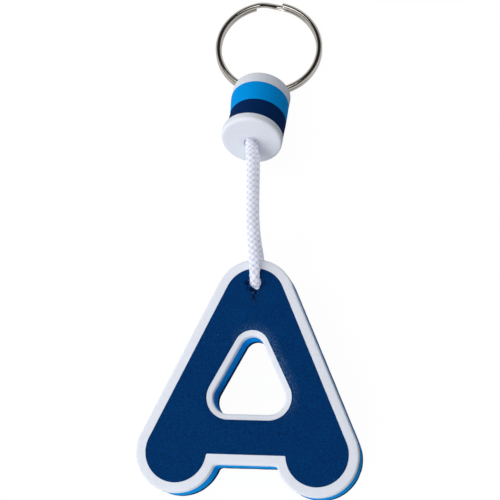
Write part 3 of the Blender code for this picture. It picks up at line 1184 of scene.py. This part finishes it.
    def printed_field(self) -> bmesh.types.BMesh:
        """The ink as a thin skin that lies on the front sheet.

        Returns:
            The skin's closed shape.
        """
        bottom, top = self.front_top + 0.015 * MM, self.front_top + 0.05 * MM
        contours = [lambda inset: self.outer(self.border + inset, self.print_fillet)]
        contours += [lambda inset: self.window(self.window_rim + inset), self.torn_hole]
        bm = closed_sheet(contours, [(0.0, bottom), (0.0, top)])
        for level in (bottom, top):
            self.cut_face(bm, level)
        self.shape_front(bm, top, skin=True)
        return bm

    def dress(self, finishes: Finishes) -> list[bpy.types.Object]:
        """Build the three sheets and the printed field.

        Args:
            finishes: The materials.

        Returns:
            The plate's objects.
        """
        gap = 0.01 * MM
        joint = 0.08 * MM
        back = self.sheet(0.0, self.back_top - gap, 0.30 * MM, joint)
        middle = self.sheet(self.back_top + gap, self.middle_top - gap, joint, joint)
        front = self.sheet(self.middle_top + gap, self.front_top, joint, 0.35 * MM)
        for bm, amount, seed in ((back, 0.05, 0.11), (middle, 0.07, 0.23), (front, 0.05, 0.37)):
            self.roughen(bm, amount * MM, seed)
        self.cut_face(front, self.front_top)
        self.shape_front(front, self.front_top, skin=False)
        shapes = (
            ("plate_back_layer", back, Slot.NAVY_FOAM),
            ("plate_middle_layer", middle, Slot.BLUE_FOAM),
            ("plate_front_layer", front, Slot.WHITE_FOAM),
            ("plate_front_print", self.printed_field(), Slot.NAVY_PRINT),
        )
        turn = Matrix.Rotation(self.tilt, 4, "X")
        pieces = []
        for name, bm, slot in shapes:
            bmesh.ops.transform(bm, matrix=turn, verts=bm.verts[:])
            pieces.append(add_foam(name, slot, bm, finishes))
        return pieces


@dataclass
class SplitRing:
    """The split key ring: two turns of flat wire in one length, with a crank between them."""

    eye: tuple[float, float, float]
    diameter: float = 30.5 * MM
    wire_width: float = 1.7 * MM
    wire_thickness: float = 1.15 * MM
    turn_gap: float = 0.2 * MM
    crank_span: float = math.radians(25.5)
    crank_place: float = math.radians(93.2)
    end_gap: float = math.radians(2.5)
    pitch: float = math.radians(3.865)
    roll: float = math.radians(8.0)
    turn: float = math.radians(-1.2)
    sides: int = 36
    flatness: float = 2.2

    def section(self, bm: bmesh.types.BMesh, rise: float) -> list:
        """The wire's section at the upper end: flat, with crowned faces and soft corners.

        Args:
            bm: The shape to start.
            rise: Height of the upper turn's middle.

        Returns:
            The section's vertices, edges and face.
        """
        bmesh.ops.create_circle(bm, cap_ends=True, segments=self.sides, radius=1.0)
        for vert in bm.verts:
            out = math.copysign(abs(vert.co.x) ** (2 / self.flatness), vert.co.x) * self.wire_width / 2
            vert.co = (self.wire_radius() + out, 0.0, vert.co.y * self.wire_thickness / 2 + rise)
        start = self.crank_place - (self.crank_span + self.end_gap) / 2
        bmesh.ops.transform(bm, matrix=Matrix.Rotation(start, 4, "Z"), verts=bm.verts[:])
        return bm.verts[:] + bm.edges[:] + bm.faces[:]

    def wire_radius(self) -> float:
        """Radius of the wire's middle line."""
        return (self.diameter - self.wire_width) / 2

    def wire(self) -> bmesh.types.BMesh:
        """The whole wire, round the ring's own axis.

        Returns:
            The wire's closed shape.
        """
        bm = bmesh.new()
        rise = (self.wire_thickness + self.turn_gap) / 2
        turn = 2 * math.pi - self.crank_span - self.end_gap
        tip = self.section(bm, rise)
        for angle, steps, drop in ((turn, 150, 0.0), (self.crank_span, 20, 2 * rise), (turn, 150, 0.0)):
            before = len(bm.verts)
            tip = bmesh.ops.spin(
                bm, geom=tip, cent=(0, 0, 0), axis=(0, 0, 1), dvec=(0.0, 0.0, -drop / steps),
                angle=-angle, steps=steps,
            )["geom_last"]
            if drop:
                bm.verts.ensure_lookup_table()
                self.soften_crank([bm.verts[i] for i in range(before, len(bm.verts))], rise)
        ends = [e for f in bm.faces if len(f.verts) > 4 for e in f.edges]
        bmesh.ops.bevel(
            bm, geom=ends, offset=0.14 * MM, offset_type="OFFSET", affect="EDGES", segments=3, profile=0.5,
            material=-1,
        )
        return bm

    def soften_crank(self, verts: list, rise: float) -> None:
        """Turn the crank's straight slope into a smooth one.

        Args:
            verts: The crank's vertices.
            rise: Height of the upper turn's middle.
        """
        start = self.crank_place + (self.crank_span + self.end_gap) / 2
        for vert in verts:
            angle = math.atan2(vert.co.y, vert.co.x)
            share = (start - angle) / self.crank_span
            vert.co.z += rise * math.cos(math.pi * share) - rise * (1 - 2 * share)

    def dress(self, finishes: Finishes) -> bpy.types.Object:
        """Build the ring where the cord's eye holds it.

        Args:
            finishes: The materials.

        Returns:
            The ring's object.
        """
        bm = self.wire()
        lean = Euler((-self.pitch, self.roll, self.turn)).to_matrix().to_4x4()
        place = Matrix.Translation(self.eye) @ lean @ Matrix.Translation((0.0, self.wire_radius(), 0.0))
        bmesh.ops.transform(bm, matrix=place, verts=bm.verts[:])
        named = Piece("split_ring", Slot.NICKEL_STEEL, Body.RING, "key_ring", sharp_above=70.0)
        return named.add(bm, finishes)


@dataclass(frozen=True)
class Softbox:
    """A square soft lamp that points at the middle of the object, mirrored by the metal or not."""

    name: str
    place: tuple[float, float, float]
    size: float
    power: float
    mirrored: bool = True

    def add(self) -> None:
        """Hang the lamp."""
        data = bpy.data.lights.new(self.name, "AREA")
        data.shape = "SQUARE"
        data.size = self.size
        data.energy = self.power
        lamp = bpy.data.objects.new(self.name, data)
        lamp.location = self.place
        aim = Vector((0.0, 0.05, 0.0)) - Vector(self.place)
        lamp.rotation_euler = aim.to_track_quat("-Z", "Y").to_euler()
        lamp.visible_glossy = self.mirrored
        bpy.context.scene.collection.objects.link(lamp)


def square(size: float, place: tuple[float, float, float]) -> bmesh.types.BMesh:
    """A flat square, twice the size across."""
    bm = bmesh.new()
    bmesh.ops.create_grid(bm, x_segments=1, y_segments=1, size=size)
    bmesh.ops.translate(bm, vec=place, verts=bm.verts[:])
    return bm


@dataclass
class Studio:
    """Camera, lamps, table and the dark flag that the metal mirrors."""

    table: float = -0.812 * MM
    camera_place: tuple[float, float, float] = (0.06877, -0.06375, 0.33070)
    camera_turn: tuple[float, float, float] = (19.877, 11.149, 3.896)
    lens: float = 94.37
    fill: Colour = (0.20, 0.20, 0.21)
    table_size: float = 1.2
    table_shade: Colour = (0.55, 0.55, 0.55)
    flag_size: float = 0.55
    flag_place: tuple[float, float, float] = (0.12, 0.22, 0.55)
    flag_shade: Colour = (0.012, 0.011, 0.010)
    lamps: tuple[Softbox, ...] = (
        Softbox("low left", (-0.40, 0.08, 0.12), 0.20, 0.38, mirrored=False),
        Softbox("near left", (-0.13, 0.10, 0.16), 0.12, 0.12, mirrored=False),
        Softbox("front", (-0.08, -0.36, 0.22), 0.26, 1.25),
        Softbox("overhead", (0.0, 0.16, 0.50), 0.30, 0.68),
    )

    def add_camera(self) -> None:
        """Place the camera at the photograph's angle."""
        data = bpy.data.cameras.new("camera")
        data.lens = self.lens
        data.sensor_width = 36.0
        camera = bpy.data.objects.new("camera", data)
        camera.location = self.camera_place
        camera.rotation_euler = [math.radians(a) for a in self.camera_turn]
        bpy.context.scene.collection.objects.link(camera)
        bpy.context.scene.camera = camera

    @staticmethod
    def seen(graph: Graph) -> bpy.types.NodeSocket:
        """1 for the rays that show the background: camera, glossy and transmission rays."""
        path = graph.node("ShaderNodeLightPath").outputs
        first = graph.math("MAXIMUM", path["Is Camera Ray"], path["Is Glossy Ray"])
        return graph.math("MAXIMUM", first, path["Is Transmission Ray"])

    def fill_world(self) -> None:
        """White background, and a dim even light from all round."""
        world = bpy.data.worlds.new("studio")
        bpy.context.scene.world = world
        world.use_nodes = True
        graph = Graph(world.node_tree)
        colour = graph.mix(Flow.RGBA, self.seen(graph), (*self.fill, 1.0), (1.0, 1.0, 1.0, 1.0))
        graph.feed(world.node_tree.nodes["Background"], {"Color": colour})

    def add_table(self) -> None:
        """A pale table that reads white and keeps a soft shadow."""
        material, graph, shader = new_material("pale_table")
        graph.feed(shader, {"Base Color": (*self.table_shade, 1.0), "Roughness": 0.9})
        graph.feed(shader, {"Specular IOR Level": 0.0})
        glow = graph.node("ShaderNodeEmission", {"Color": (1.0, 1.0, 1.0, 1.0), "Strength": 1.06})
        share = graph.math("MULTIPLY", self.seen(graph), 0.91)
        mixed = graph.node("ShaderNodeMixShader", {0: share, 1: shader.outputs[0], 2: glow.outputs[0]})
        output = material.node_tree.nodes["Material Output"]
        graph.feed(output, {"Surface": mixed.outputs[0]})
        add_object("table", square(self.table_size, (0.0, 0.0, self.table)), material)

    def add_flag(self) -> None:
        """A dark flag overhead, which only mirror reflections see."""
        material, graph, shader = new_material("dark_flag")
        graph.feed(shader, {"Base Color": (0.0, 0.0, 0.0, 1.0), "Emission Strength": 1.0})
        graph.feed(shader, {"Emission Color": (*self.flag_shade, 1.0)})
        flag = add_object("flag", square(self.flag_size, self.flag_place), material)
        for ray in ("camera", "diffuse", "shadow", "transmission"):
            setattr(flag, f"visible_{ray}", False)

    def build(self) -> None:
        """Set up the whole studio and the plain view transform."""
        self.add_camera()
        for lamp in self.lamps:
            lamp.add()
        self.fill_world()
        self.add_table()
        self.add_flag()
        bpy.context.scene.view_settings.view_transform = "Standard"
        log.info("studio: camera, %d lamps, table and flag", len(self.lamps))


def main() -> None:
    """Dress the keychain, piece by piece."""
    logging.basicConfig(level=logging.INFO, format="%(name)s: %(message)s")
    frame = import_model()
    hinge = frame["joints"][0]
    Studio().build()
    finishes = Finishes.build()
    BraidedCord().dress(finishes)
    FoamFloat().dress(finishes)
    FoamPlate().dress(finishes)
    SplitRing(eye=tuple(hinge["pos_m"])).dress(finishes)
    log.info("sizes written")


if __name__ == "__main__":
    main()
